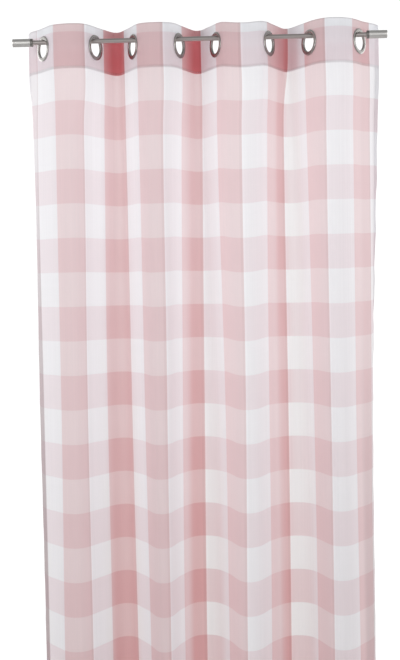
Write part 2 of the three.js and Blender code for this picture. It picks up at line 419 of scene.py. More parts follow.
def blend_levels(column, drop):
    """A column of the sections at any drop, smooth between the levels."""
    levels = [section["drop"] for section in SECTIONS]
    last = len(levels) - 1
    if drop <= levels[0]:
        return column[0]
    if drop >= levels[last]:
        return column[last]
    i = next(n for n in range(last) if drop < levels[n + 1])

    def slope(n):
        if n in (0, last):
            return 0.0
        return (column[n + 1] - column[n - 1]) / (levels[n + 1] - levels[n - 1])

    step = levels[i + 1] - levels[i]
    t = (drop - levels[i]) / step
    value = column[i] + (column[i + 1] - column[i]) * eased(0, 1, t)
    value = value + slope(i) * step * t * (1 - t) ** 2
    return value + slope(i + 1) * step * t * t * (t - 1)


def bend(part, sharpness):
    """How the lean dies away from 1 beside a fold line to 0 on the crest."""
    if abs(sharpness) < 0.001:
        return part
    if sharpness > 0:
        return np.tanh(sharpness * part) / math.tanh(sharpness)
    return np.sinh(-sharpness * part) / math.sinh(-sharpness)


def solve_fold(length, chord, offset, lean_a, lean_b, samples=40, halvings=32):
    """The sharpness and crest place that bring the cloth between two lines to its chord."""
    part = (np.arange(samples) + 0.5) / samples
    low, high = -12.0, 12.0
    for _ in range(halvings):
        sharpness = (low + high) / 2
        first = lean_a * bend(part, sharpness)
        second = lean_b * bend(part, sharpness)
        sine_a, sine_b = np.sin(first).mean(), np.sin(second).mean()
        crest = (sine_b * length + offset) / (length * (sine_a + sine_b))
        reach = length * (crest * np.cos(first).mean() + (1 - crest) * np.cos(second).mean())
        if reach > chord:
            low = sharpness
        else:
            high = sharpness
    return (low + high) / 2, crest


class Drape:
    """The hanging cloth: where each point of the flat cloth is, in millimetres."""

    ROW_STEP = 10.0
    # Height of the slow waves, and the drop below the heading in which they grow
    WAVE = 1.1
    WAVE_GROWTH = 250
    # Height and width of the puckers along the heading's seam and the hem's
    HEADING_PUCKER = (0.28, 11)
    HEM_PUCKER = (0.35, 12)
    # Heights of the long and short waves of a selvedge, and their reach from it
    SELVEDGE_WAVES = (0.9, 0.35)
    SELVEDGE_REACH = 22
    # The flanges hold the cloth flat out to a radius, and let it go over a further stretch
    GRIP = 32
    RELEASE = 14

    def __init__(self, sizes):
        self.width = in_mm(sizes.width)
        self.drop = in_mm(sizes.drop)
        self.heading = in_mm(sizes.heading)
        self.side_hem = in_mm(sizes.side_hem)
        self.bottom_hem = in_mm(sizes.bottom_hem)
        self.first = in_mm(sizes.first_eyelet)
        self.pitch = (self.width - 2 * self.first) / (EYELETS - 1)
        self.centres = self.first + self.pitch * np.arange(EYELETS)
        self.eyelet_drop = in_mm(sizes.eyelet_drop)
        self.top = RING_HEIGHT / MM + self.eyelet_drop
        self.rows = np.arange(0.0, self.drop + self.ROW_STEP / 2, self.ROW_STEP)
        traced = [self.trace(drop) for drop in self.rows]
        self.x, self.y, self.lean = (np.array(column) for column in zip(*traced))

    def lines(self, drop):
        """Places along the cloth, x and lean of the fold lines, and the flat beside them."""
        columns = {
            key: blend_levels([np.array(section[key], float) for section in SECTIONS], drop)
            for key in ("x", "lean", "slip", "flat", "edges")
        }
        along = self.centres + columns["slip"]
        return along, columns["x"], np.radians(columns["lean"]), columns

    def trace(self, drop):
        """x, y and lean of the cloth at each whole millimetre along one level section."""
        along, x, lean, columns = self.lines(drop)
        flat = float(columns["flat"])
        edges = np.radians(columns["edges"])
        side = np.where(np.arange(EYELETS) % 2 == 0, 1.0, -1.0)
        count = round(self.width)
        place = np.arange(count) + 0.5
        angle = np.empty(count)
        margin = place < along[0] - flat
        share = eased(0, along[0] - flat, place[margin])
        angle[margin] = edges[0] + (lean[0] - edges[0]) * share
        tail_start = along[-1] + flat
        tail = place >= tail_start
        share = eased(tail_start, self.width, place[tail])
        angle[tail] = side[-1] * (lean[-1] + (edges[1] - lean[-1]) * share)
        for i in range(EYELETS):
            angle[np.abs(place - along[i]) <= flat] = side[i] * lean[i]
            if i == EYELETS - 1:
                break
            start, end = along[i] + flat, along[i + 1] - flat
            chord = x[i + 1] - x[i] - flat * (math.cos(lean[i]) + math.cos(lean[i + 1]))
            offset = flat * (math.sin(lean[i + 1]) - math.sin(lean[i]))
            sharpness, crest = solve_fold(end - start, chord, offset, lean[i], lean[i + 1])
            top = start + crest * (end - start)
            rise = (place > start) & (place <= top)
            fall = (place > top) & (place < end)
            part = (top - place[rise]) / (top - start)
            angle[rise] = side[i] * lean[i] * bend(part, sharpness)
            part = (place[fall] - top) / (end - top)
            angle[fall] = side[i + 1] * lean[i + 1] * bend(part, sharpness)
        run = np.concatenate(([0.0], np.cumsum(np.cos(angle))))
        depth = np.concatenate(([0.0], -np.cumsum(np.sin(angle))))
        stations = np.arange(count + 1.0)
        run += x[0] - np.interp(along[0], stations, run)
        depth -= np.interp(along[0], stations, depth)
        corners = np.concatenate(([angle[0]], (angle[1:] + angle[:-1]) / 2, [angle[-1]]))
        return run, depth, corners

    def relief(self, along, drop):
        """Small unevenness of the cloth, towards the back."""
        total = np.zeros_like(along)
        for middle, centre, length, width, depth, drift in CREASES:
            fall = (drop - centre) / (length / 2)
            fade = np.clip(1 - fall * fall, 0, 1) ** 2
            across = (along - (middle + drift * fall)) / width
            total += depth * fade * np.exp(-across * across)
        below = np.clip((drop - self.heading) / self.WAVE_GROWTH, 0, 1)
        slow = np.sin(along / 31 + drop / 310) * np.sin(along / 47 - drop / 430 + 1.3)
        total += self.WAVE * below * slow
        height, spread = self.HEADING_PUCKER
        seam = np.exp(-(((drop - self.heading + 3) / spread) ** 2))
        total += seam * np.sin(along / 3.1) * np.sin(along / 13.7 + 1) * height
        height, spread = self.HEM_PUCKER
        hem = np.exp(-(((drop - self.drop + self.bottom_hem) / spread) ** 2))
        total += hem * np.sin(along / 3.6) * np.sin(along / 17.3) * height
        near_edge = np.minimum(along, self.width - along)
        selvedge = np.exp(-((near_edge / self.SELVEDGE_REACH) ** 2)) * below
        long, short = self.SELVEDGE_WAVES
        total += selvedge * (np.sin(drop / 21) * long + np.sin(drop / 9.2 + 2) * short)
        return total * self.eyelet_clearance(along, drop)

    def eyelet_clearance(self, along, drop):
        """0 where the flanges grip the cloth, and 1 well away from them."""
        nearest = np.min(np.abs(np.asarray(along)[..., None] - self.centres), axis=-1)
        distance = np.hypot(nearest, drop - self.eyelet_drop)
        return np.clip((distance - self.GRIP) / self.RELEASE, 0, 1)

    def sag(self, along):
        """How far the cloth hangs down at a place along it, against its height at the eyelets."""
        place = (along - self.first) / self.pitch
        past = (along - self.width + self.first) / self.first
        fold = np.clip(np.floor(place), 0, EYELETS - 2).astype(int)
        share = np.where(place < 0, 0.5 - along / self.first / 2, place - fold)
        share = np.where(past > 0, past / 2, share)
        which = np.where(place < 0, 0, np.where(past > 0, EYELETS, fold + 1))
        return np.array(TOP_SAG, float)[which] * np.sin(np.pi * share) ** 2

    def place(self, along, drop, depth):
        """Points in metres at places on the flat cloth, depth behind its face."""
        along, drop, depth = np.broadcast_arrays(
            np.asarray(along, float), np.asarray(drop, float), np.asarray(depth, float)
        )
        row = np.clip(drop / self.ROW_STEP, 0, len(self.rows) - 1.001)
        low = row.astype(int)
        rise = row - low
        column = np.clip(along, 0, self.width - 0.001)
        left = column.astype(int)
        part = column - left

        def read(table):
            upper = table[low, left] * (1 - part) + table[low, left + 1] * part
            lower = table[low + 1, left] * (1 - part) + table[low + 1, left + 1] * part
            return upper * (1 - rise) + lower * rise

        lean = read(self.lean)
        behind = depth + self.relief(along, drop)
        x = read(self.x) + np.sin(lean) * behind
        y = read(self.y) + np.cos(lean) * behind
        z = self.top - drop - self.sag(along)
        return np.stack((x, y, z), axis=-1) * MM


class ClothMesh:
    """Vertices and faces of the sheet, from places on the cut cloth."""

    # In millimetres: the middle of the single cloth behind its face, and how much further back
    # the turned layer of a side hem lies, and that of the heading and the bottom hem
    FACE_DEPTH = 0.6
    SIDE_LAYER = 0.5
    TURNED_LAYER = 1.0
    # Half the width of the strip in which a turned edge bends
    BEND = 1.2
    # The squares round the eyelets: half their side, cells along it, and rings inside
    ZONE = 32.0
    ZONE_CELLS = 16
    CELL = 2 * ZONE / ZONE_CELLS
    RINGS = 3
    # Cells of a side margin, and of the front and back folds between two squares. The cells of
    # a back fold crowd towards its crest.
    MARGIN_CELLS = 17
    FRONT_CELLS = 26
    BACK_CELLS = 32
    CROWDING = 0.09
    # Rows between the heading and the bottom hem
    OPEN_ROWS = 172
    # Room around the cut cloth in its UV map, and the map's reach across and down, in mm
    UV_ROOM = (50.0, 110.0)
    UV_REACH = (1500.0, 2650.0)
    CHECK_RISE = 2.0
    SKEW = 0.004
    # Its weft bows about one place along the cloth: down at the top, and up by a share of the drop
    BOW_START = 4.5
    BOW = 0.008
    BOW_MIDDLE = 760.0
    BOW_REACH = 480.0
    # Near the top it is drawn to the left, less what it is drawn back about one fold
    DRAWN = 4.5
    DRAWN_DEPTH = 150
    DRAWN_BACK = 17
    DRAWN_BACK_MIDDLE = 1040
    DRAWN_BACK_REACH = 45

    def __init__(self, drape, hole):
        self.drape = drape
        self.hole = hole
        self.places = []
        self.faces = []

    def columns(self):
        """Places of the grid's columns across the cut cloth."""
        d = self.drape
        hem = d.side_hem
        turned = [-hem, -hem + 3, -hem * 0.6, -hem * 0.35, -4.0, -self.BEND]
        left = np.linspace(self.BEND, d.centres[0] - self.ZONE, self.MARGIN_CELLS + 1)
        stops = [*turned, 0.0, *left]
        for i, centre in enumerate(d.centres):
            stops += list(centre - self.ZONE + self.CELL * np.arange(1, self.ZONE_CELLS + 1))
            if i == EYELETS - 1:
                break
            gap = d.pitch - 2 * self.ZONE
            in_front = i % 2 == 0
            cells = self.FRONT_CELLS if in_front else self.BACK_CELLS
            t = np.arange(1, cells + 1) / cells
            crowd = 0.0 if in_front else self.CROWDING
            stops += list(centre + self.ZONE + gap * (t + crowd * np.sin(2 * np.pi * t)))
        right = np.linspace(d.centres[-1] + self.ZONE, d.width - self.BEND, self.MARGIN_CELLS + 1)
        stops += [*right[1:], d.width]
        stops += [d.width - stop for stop in reversed(turned)]
        return np.array(stops)

    def rows(self):
        """Places of the grid's rows down the cut cloth, from the turned heading to the hem."""
        d = self.drape
        zone = d.eyelet_drop - self.ZONE + self.CELL * np.arange(self.ZONE_CELLS + 1)
        above = [self.BEND, 4.0, 8.0, 12.0]
        edge = d.heading
        below = [84.0, *(edge - step for step in (15, 11, 7.5, 5, 3, 1.4))]
        turned = [-stop for stop in reversed([*above, *zone, *below, edge])]
        under = [edge + step for step in (0, 1.5, 4, 8, 14)]
        hem_line = d.drop - d.bottom_hem
        open_rows = np.linspace(edge + 22, hem_line - 14, self.OPEN_ROWS)
        hem = [hem_line + step for step in (-8, -4, 0, 3, 8)]
        foot = np.linspace(hem_line + 18, d.drop - 10, 6)
        last = [d.drop + step for step in (-4, -self.BEND, 0, self.BEND, 4)]
        back = np.linspace(d.drop + 12, d.drop + d.bottom_hem, 7)
        return np.array(
            [*turned, 0.0, *above, *zone, *below, *under, *open_rows, *hem, *foot, *last, *back]
        )

    def turned(self, value, end):
        """How far the cloth has turned to its back, past 0 or past its end."""
        return eased(self.BEND, -self.BEND, value) + eased(end - self.BEND, end + self.BEND, value)

    def depth(self, across, down):
        """How far behind the face side each layer lies."""
        side = self.SIDE_LAYER * self.turned(across, self.drape.width)
        return self.FACE_DEPTH + side + self.TURNED_LAYER * self.turned(down, self.drape.drop)

    def in_zone(self, across, down):
        """True where a cell lies under an eyelet, on either layer of the heading."""
        d = self.drape
        near = np.min(np.abs(across - d.centres)) < self.ZONE
        return near and abs(abs(down) - d.eyelet_drop) < self.ZONE

    def add_grid(self):
        columns, rows = self.columns(), self.rows()
        d = self.drape
        across, down = np.meshgrid(columns, rows)
        self.places = [tuple(pair) for pair in np.stack((across, down), -1).reshape(-1, 2)]
        width = len(columns)
        mid_columns = (columns[1:] + columns[:-1]) / 2
        mid_rows = (rows[1:] + rows[:-1]) / 2
        for r, down_here in enumerate(mid_rows):
            for c, across_here in enumerate(mid_columns):
                on_side = across_here < 0 or across_here > d.width
                turned = down_here < 0 or down_here > d.drop
                if on_side and turned or self.in_zone(across_here, down_here):
                    continue
                a = r * width + c
                self.faces.append((a, a + width, a + width + 1, a + 1))
        return columns, rows

    def add_eyelet_rings(self, columns, rows):
        """Fills the square round each hole with rings of faces, from the square to the hole."""
        d = self.drape
        width = len(columns)
        for layer in (1, -1):
            for i in range(EYELETS):
                centre = (d.centres[i], layer * d.eyelet_drop)
                left = int(np.argmin(np.abs(columns - (centre[0] - self.ZONE))))
                top = int(np.argmin(np.abs(rows - (centre[1] - self.ZONE))))
                n = self.ZONE_CELLS
                rim = [(top, left + k) for k in range(n)]
                rim += [(top + k, left + n) for k in range(n)]
                rim += [(top + n, left + n - k) for k in range(n)]
                rim += [(top + n - k, left) for k in range(n)]
                loop = [r * width + c for r, c in rim]
                corners = [self.places[index] for index in loop]
                for ring in range(1, self.RINGS + 1):
                    share = ring / self.RINGS
                    start = len(self.places)
                    for across, down in corners:
                        dx, dy = across - centre[0], down - centre[1]
                        scale = self.hole / math.hypot(dx, dy)
                        pull = 1 + (scale - 1) * share
                        self.places.append((centre[0] + dx * pull, centre[1] + dy * pull))
                    inner = list(range(start, start + len(corners)))
                    for k in range(len(loop)):
                        m = (k + 1) % len(loop)
                        self.faces.append((loop[m], loop[k], inner[k], inner[m]))
                    loop = inner

    def heading_painted_shade(self, behind, across, inner):
        """Painted shade: the deep red of the heading's back folds, half as strong from the third one
        on.
        """
        shallow, full = HEADING_DEPTHS
        deep_shade = np.clip((behind - shallow) / (full - shallow), 0, 1) ** 0.95
        deep_shade = deep_shade * (0.2 + 0.8 * inner)
        return deep_shade * (1 - 0.5 * eased(*DEEP_SHADE_HALVES, across)) * eased(0, 60, across)

    def fold_painted_shade(self, behind, across, down, inner):
        """Painted shade: the rose of the back folds below the heading, which grows down the cloth."""
        grown = 0.3 + 0.7 * eased(*FOLD_SHADE_GROWS, down)
        folds = eased(*FOLD_DEPTHS, behind) * grown * (0.3 + 0.7 * inner)
        # Painted light: less painted shade on the right of some crests, higher up
        for crest, pale, full in LIT_SIDES:
            bright = band(crest, crest + 22, crest + 110, crest + 150, across)
            folds *= 1 - 0.6 * bright * (1 - eased(pale, full, down))
        # Painted shade: a stronger line near the crest of some back folds
        for crest, high, low in SHADE_LINES:
            shade_line = band(crest - 30, crest - 15, crest + 11, crest + 23, across)
            folds += (high + (low - high) * eased(*SHADE_LINES_CHANGE, down)) * shade_line
        width = self.drape.width
        # Painted shade on all the dyed cloth, stronger towards the bottom, and on the right margin
        everywhere = 0.32 * eased(*SHADE_EVERYWHERE_GROWS, down)
        margin = 0.25 * eased(width - 95, width - 80, across) * grown
        return np.maximum.reduce((np.minimum(folds, 1), everywhere, margin))

    def line_painted_shade(self, across, down, heading, on_face):
        """Painted shade: the grey of the side hems, the bottom hem, the heading's seam, the top fold
        and under it.
        """
        d = self.drape
        # Painted shade: grey on the left margin, growing down, on the right edge and margin, and on the
        # bottom hem
        left = 0.06 + 0.5 * eased(150, 700, down) + 0.2 * eased(600, 1250, down)
        left *= eased(76, 68, across)
        right = eased(d.width - 36, d.width - 31, across) * EDGE_GREY
        margin = eased(d.width - 110, d.width - 85, across)
        margin *= 0.08 + 0.26 * eased(600, 1400, down)
        foot = FOOT_GREY * (down > d.drop - d.bottom_hem)
        hem_shade = np.maximum.reduce((left, right, margin, foot)) * (down > d.heading)
        seam = eased(d.heading - 7.5, d.heading - 3, down) * on_face * SEAM_GREY
        shaded = eased(*TOP_SHADE, down) * heading * SHADE_GREY
        top = eased(2.5, 0.5, np.abs(down)) * TOP_GREY
        return np.maximum.reduce((hem_shade, seam, shaded, top))

    def painted_shading(self, points, across, down):
        """Four painted tones: shade in the heading's back folds, shade in those below it, grey shade on
        lines, and warm light on the white.
        """
        d = self.drape
        behind = points[:, 1] / MM
        inner = band(60, 110, d.width - 95, d.width - 45, across)
        on_face = (down >= 0) & (down <= d.heading + 1)
        lower = (down > d.heading) & (down <= d.drop)
        # Painted shade in the heading and painted warm light below it, on the right side of the third
        # back fold
        third_fold_side = band(*THIRD_FOLD_SIDE, across)
        # Painted shade: deep red in the heading's back folds, less of it under the top fold
        heading = self.heading_painted_shade(behind, across, inner) * on_face
        third_fold_shade = third_fold_side * on_face * eased(10, 26, down) * 0.85
        folds = np.maximum(self.fold_painted_shade(behind, across, down, inner) * lower, third_fold_shade)
        lines = self.line_painted_shade(across, down, heading, on_face)
        heading = heading * (1 - 0.35 * eased(*TOP_SHADE, down))
        warm_light = np.maximum(eased(*WARM_LIGHT_GROWS, down), third_fold_side * 0.9) * lower
        warm_light = warm_light * eased(-10, 60, behind)
        return np.stack((heading, folds, lines, warm_light), axis=-1)

    def build(self, name):
        columns, rows = self.add_grid()
        self.add_eyelet_rings(columns, rows)
        d = self.drape
        places = np.array(self.places)
        across, down = places[:, 0], places[:, 1]
        along = d.width - np.abs(d.width - np.abs(across))
        drop = d.drop - np.abs(d.drop - np.abs(down))
        points = d.place(along, drop, self.depth(across, down))
        used = np.unique(np.array([index for face in self.faces for index in face]))
        renumber = np.full(len(points), -1)
        renumber[used] = np.arange(len(used))
        faces = [tuple(int(renumber[index]) for index in face) for face in self.faces]
        mesh = bpy.data.meshes.new(name)
        mesh.from_pydata([tuple(point) for point in points[used]], [], faces)
        layer = mesh.uv_layers.new(name="Cloth")
        bow = np.exp(-(((across - self.BOW_MIDDLE) / self.BOW_REACH) ** 4))
        start = self.CHECK_RISE - self.BOW_START * bow
        back = np.exp(-(((across - self.DRAWN_BACK_MIDDLE) / self.DRAWN_BACK_REACH) ** 2))
        drawn = np.exp(-((down / self.DRAWN_DEPTH) ** 4)) * (self.DRAWN - self.DRAWN_BACK * back)
        yarns = np.stack((across + drawn, down * (1 + self.SKEW + self.BOW * bow) + start), axis=-1)
        uv = (yarns[used] + self.UV_ROOM) / self.UV_REACH
        corners = np.array([index for face in faces for index in face])
        layer.data.foreach_set("uv", uv[corners].ravel())
        painted_shading = mesh.attributes.new("painted_shading", "FLOAT_COLOR", "POINT")
        painted_shading.data.foreach_set("color", self.painted_shading(points, across, down)[used].ravel())
        mesh.shade_smooth()
        return add_object(name, mesh)


def check_cloth(look):
    """Yarn-dyed check: dyed stripes of warp and of weft, pale where they cross the white."""
    material = bpy.data.materials.new("check_cotton")
    s = Shader(material)
    uv = s.out(s.node("ShaderNodeUVMap", {"uv_map": "Cloth"}))
    reach = [side * MM for side in ClothMesh.UV_REACH]
    room = [side * MM for side in ClothMesh.UV_ROOM]
    metres = s.node(
        "ShaderNodeVectorMath", {"operation": "MULTIPLY_ADD"},
        _0=uv, _1=(reach[0], reach[1], 0), _2=(-room[0], -room[1], 0),
    )
    metres = s.out(metres)
    parts = s.node("ShaderNodeSeparateXYZ", None, Vector=metres)
    across, down = s.out(parts, 0), s.out(parts, 1)

    wander = s.noise(metres, 160.0, 1.0) - 0.5

    def stripes(place, first):
        """1 on the dyed stripes and 0 between them."""
        count = (place + wander * STRIPE_WANDER) * (1 / look.check) - first
        sharp = look.check / STRIPE_EDGE
        return ((count.math("PINGPONG", 1.0) - 0.5) * sharp + 0.5).clamp()

    # Painted light: the warp is paler near the left selvedge, high up
    lit_edge = ((LIT_EDGE_END - across) * 90.0).clamp() * (1.15 - down * 0.4).clamp()
    warp = stripes(across, look.first_stripe + 0.5) * (1.0 - lit_edge * LIT_EDGE)
    weft = stripes(down, look.first_band / look.check - 0.5)

    warp_slub = s.noise(s.scaled(metres, *SLUB_GRAIN), 1.0, 3.0, 0.6)
    weft_slub = s.noise(s.scaled(metres, *reversed(SLUB_GRAIN)), 1.0, 3.0, 0.6)
    streak = s.noise(s.scaled(metres, *STREAK_GRAIN), 1.0, 2.0, 0.5)
    uneven = (warp_slub - 0.5) * WARP_SLUB + (weft_slub - 0.5) * WEFT_SLUB
    uneven = uneven + (streak - 0.5) * STREAK

    dye_warp = (warp * (uneven * 2.0 + 1.0)).clamp()
    dye_weft = (weft * (uneven * 2.0 + 1.0)).clamp()
    colour = s.tinted(rgba(look.white), s.blend(dye_warp, PLAIN, rgba(look.warp_tint)))
    colour = s.tinted(colour, s.blend(dye_weft, PLAIN, rgba(look.weft_tint)))
    # At one edge of each dyed warp stripe the colour is a little darker, and beside it a little paler
    phase = (across * (1 / look.check) - look.first_stripe).math("WRAP", 2.0, 0.0)
    paler_strip = ((0.06 - phase) * 50.0).clamp() * 0.1
    darker_strip = ((phase - 1.91) * 40.0).clamp() * 0.11
    shade = (uneven * 0.6 + (paler_strip - darker_strip) + 1.0).math("MINIMUM", 1.1)
    shade = s.out(s.node("ShaderNodeCombineXYZ", None, X=shade, Y=shade, Z=shade))
    colour = s.tinted(colour, shade)

    # The painted shade is laid where the cloth is dyed, but for the grey lines of painted shade and the
    # painted warm light on the white
    attribute = s.node("ShaderNodeAttribute", {"attribute_name": "painted_shading"})
    painted_shading = s.node("ShaderNodeSeparateXYZ", None, Vector=s.out(attribute, 1))
    dyed = (warp * 0.6 + weft * 0.38).clamp()
    deep_shade = (s.out(painted_shading, 0) * (warp * 0.93 + 0.05)).clamp()
    fold_shade = (s.out(painted_shading, 1) * (dyed * 0.95 + 0.08)).clamp()
    lines = s.out(painted_shading, 2)
    warm_lit = (s.out(attribute, 3) - dyed).clamp()
    colour = s.tinted(colour, rgba(look.deep_shade_tint), deep_shade)
    colour = s.tinted(colour, rgba(look.fold_shade_tint), fold_shade)
    colour = s.tinted(colour, rgba(look.hem_shade_tint), lines)
    colour = s.tinted(colour, rgba(look.warm_light_tint), warm_lit)

    warp_yarn = s.noise(s.scaled(metres, *YARN_GRAIN), 1.0, 1.0)
    weft_yarn = s.noise(s.scaled(metres, *reversed(YARN_GRAIN)), 1.0, 1.0)
    bump = s.bump(warp_yarn + weft_yarn, 0.35, 0.0004)
    rough = (uneven * 0.5 + 0.86).clamp()
    sheen = {"Specular IOR Level": 0.25, "Sheen Weight": 0.12, "Sheen Roughness": 0.5}
    front = s.principled(colour, rough, {"Normal": bump, **sheen})

    def through(tint):
        return s.out(s.node("ShaderNodeBsdfTranslucent", None, Color=rgba(tint)))

    # The light that comes through the cloth carries the same painted shade
    glow = s.either(dyed, through(look.glow_white), through(look.glow_rose))
    glow = s.either(fold_shade, glow, through(look.glow_fold_shade))
    glow = s.either(deep_shade, glow, through(look.glow_deep_shade))
    glow = s.either(lines, glow, through(look.glow_hem_shade))
    s.finish(s.either(look.sheer, front, glow))
    return material


def patterned(name):
    """A new material, its shader, and the place on the object that its patterns follow."""
    material = bpy.data.materials.new(name)
    s = Shader(material)
    return material, s, s.out(s.node("ShaderNodeTexCoord"), 3)


def thread(colour):
    material, s, place = patterned("sewing_thread")
    twist = s.noise(place, 2600.0, 2.0)
    shade = s.blend(twist, rgba(colour, 0.8), rgba(colour))
    s.finish(s.principled(shade, 0.7, {"Normal": s.bump(twist, 0.4, 0.0002)}))
    return material


def brushed_metal(name, colour, grain, rough, shaded_end=0.0):
    """Satin metal with scratches stretched by grain, and painted shade on the part nearer to the middle
    than the given reach.
    """
    material, s, place = patterned(name)
    scratches = s.noise(s.scaled(place, *grain), 1.0, 4.0, 0.65)
    cloudy = s.noise(place, 40.0, 2.0)
    mixed = scratches * 0.7 + cloudy * 0.3
    shade = s.blend(mixed, rgba(colour, 0.82), rgba(colour, 1.12))
    if shaded_end:
        parts = s.node("ShaderNodeSeparateXYZ", None, Vector=place)
        near = ((shaded_end - s.out(parts, 0).math("ABSOLUTE")) * 3000.0).clamp()
        shade = s.tinted(shade, END_SHADE_TINT, near)
    roughness = (mixed - 0.5) * 0.12 + rough
    more = {"Metallic": 1.0, "Normal": s.bump(scratches, 0.01, 0.0002)}
    s.finish(s.principled(shade, roughness, more))
    return material


def declare(piece, slot, *nodes):
    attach(piece, "root")
    if nodes:
        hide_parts(*nodes)


def turned_profile(name, profile, sides, closed):
    """Sweeps an outline of (radius, height) round Z: a circle is extruded, scaled and moved.

    A closed outline ends where it starts, and an open one has both of its rims filled.
    """
    bpy.ops.object.select_all(action="DESELECT")
    radius, height = profile[0]
    bpy.ops.mesh.primitive_circle_add(vertices=sides, radius=radius, location=(0, 0, 0))
    piece = bpy.context.object
    piece.name = piece.data.name = name
    bpy.ops.object.mode_set(mode="EDIT")
    bpy.ops.mesh.select_mode(type="EDGE")
    bpy.ops.mesh.select_all(action="SELECT")
    bpy.ops.transform.translate(value=(0, 0, height))
    outline = [*profile[1:], profile[0]] if closed else profile[1:]
    for next_radius, next_height in outline:
        bpy.ops.mesh.extrude_edges_move()
        scale = next_radius / radius
        bpy.ops.transform.resize(value=(scale, scale, 1))
        bpy.ops.transform.translate(value=(0, 0, next_height - height))
        radius, height = next_radius, next_height
    if not closed:
        bpy.ops.mesh.edge_face_add()
        bpy.ops.mesh.select_all(action="DESELECT")
        bpy.ops.mesh.select_non_manifold()
        bpy.ops.mesh.edge_face_add()
    bpy.ops.mesh.select_all(action="SELECT")
    bpy.ops.mesh.remove_doubles(threshold=0.000002)
    bpy.ops.mesh.normals_make_consistent(inside=False)
    bpy.ops.object.mode_set(mode="OBJECT")
    return piece


def arc(centre, radius, start, end, steps):
    """Points (radius, height) of an arc, in degrees from the direction of the radius."""
    angles = np.radians(np.linspace(start, end, steps))
    return [(centre[0] + radius * math.cos(a), centre[1] + radius * math.sin(a)) for a in angles]


def settle(piece, matrix):
    """Puts a piece in its place and leaves its object at the origin."""
    bpy.ops.object.select_all(action="DESELECT")
    piece.select_set(True)
    bpy.context.view_layer.objects.active = piece
    piece.matrix_world = matrix
    bpy.ops.object.transform_apply(location=True, rotation=True, scale=True)
    bpy.ops.object.shade_smooth_by_angle(angle=math.radians(35))


class CURTAIN_OT_panel(bpy.types.Operator):
    """Hangs the checked cloth in its folds, with its heading and hems turned"""

    bl_idname = "curtain.panel"
    bl_label = "Curtain panel"

    def execute(self, context):
        sizes = context.scene.cloth_sizes
        drape = Drape(sizes)
        piece = ClothMesh(drape, in_mm(sizes.hole)).build("curtain_cloth")
        piece.data.materials.append(check_cloth(context.scene.check_look))
        declare(piece, "check_cotton", "curtain_panel")
        return {"FINISHED"}


class CURTAIN_OT_stitching(bpy.types.Operator):
    """Sews the heading and the hems with a row of stitches on both sides"""

    bl_idname = "curtain.stitching"
    bl_label = "Stitching"

    # In millimetres: how far a seam is from its edge, and the size and height of its stitches
    SEAM_INSET = 3.0
    LENGTH = 3.0
    THICK = 0.42
    RISE = 0.12
    # A direction that no stitch follows, to turn its section by
    ASIDE = (0.3, 0.9, 0.2)

    def seams(self, drape, step):
        """Rows of (along, drop, direction, depth in front, depth behind)."""
        inset = self.SEAM_INSET
        half = step / 2
        across = np.arange(half, drape.width, step)
        down = np.arange(drape.heading + half, drape.drop - drape.bottom_hem, step)
        front, back = ClothMesh.FACE_DEPTH, ClothMesh.FACE_DEPTH + ClothMesh.TURNED_LAYER
        side = ClothMesh.FACE_DEPTH + ClothMesh.SIDE_LAYER
        for drop in (drape.heading - inset, drape.drop - drape.bottom_hem + inset):
            yield across, np.full_like(across, drop), True, front, back
        for along in (drape.side_hem - inset, drape.width - drape.side_hem + inset):
            yield np.full_like(down, along), down, False, front, side

    def execute(self, context):
        sizes = context.scene.cloth_sizes
        drape = Drape(sizes)
        bpy.ops.object.select_all(action="DESELECT")
        bpy.ops.mesh.primitive_uv_sphere_add(segments=5, ring_count=4, radius=0.5)
        pattern = context.object
        shape = np.array([tuple(v.co) for v in pattern.data.vertices])
        loops = [tuple(p.vertices) for p in pattern.data.polygons]
        bpy.data.objects.remove(pattern, do_unlink=True)
        points, faces = [], []
        reach = self.LENGTH / 2
        for along, drop, level, front, back in self.seams(drape, in_mm(sizes.stitch)):
            step_a, step_d = (reach, 0.0) if level else (0.0, reach)
            for depth in (front - self.RISE, back + self.RISE):
                start = drape.place(along - step_a, drop - step_d, depth)
                end = drape.place(along + step_a, drop + step_d, depth)
                for a, b in zip(start, end):
                    tangent = b - a
                    length = np.linalg.norm(tangent)
                    tangent = tangent / length
                    side = np.cross(tangent, self.ASIDE)
                    side = side / np.linalg.norm(side)
                    up = np.cross(side, tangent)
                    thick = self.THICK * MM
                    base = len(points)
                    placed = (
                        (a + b) / 2
                        + shape[:, :1] * thick * side
                        + shape[:, 1:2] * thick * up
                        + shape[:, 2:] * length * tangent
                    )
                    points.extend(map(tuple, placed))
                    faces.extend(tuple(base + index for index in loop) for loop in loops)
        mesh = bpy.data.meshes.new("stitching")
        mesh.from_pydata(points, [], faces)
        mesh.shade_smooth()
        piece = add_object("stitching", mesh)
        mesh.materials.append(thread(THREAD_COLOUR))
        declare(piece, "check_cotton")
        return {"FINISHED"}


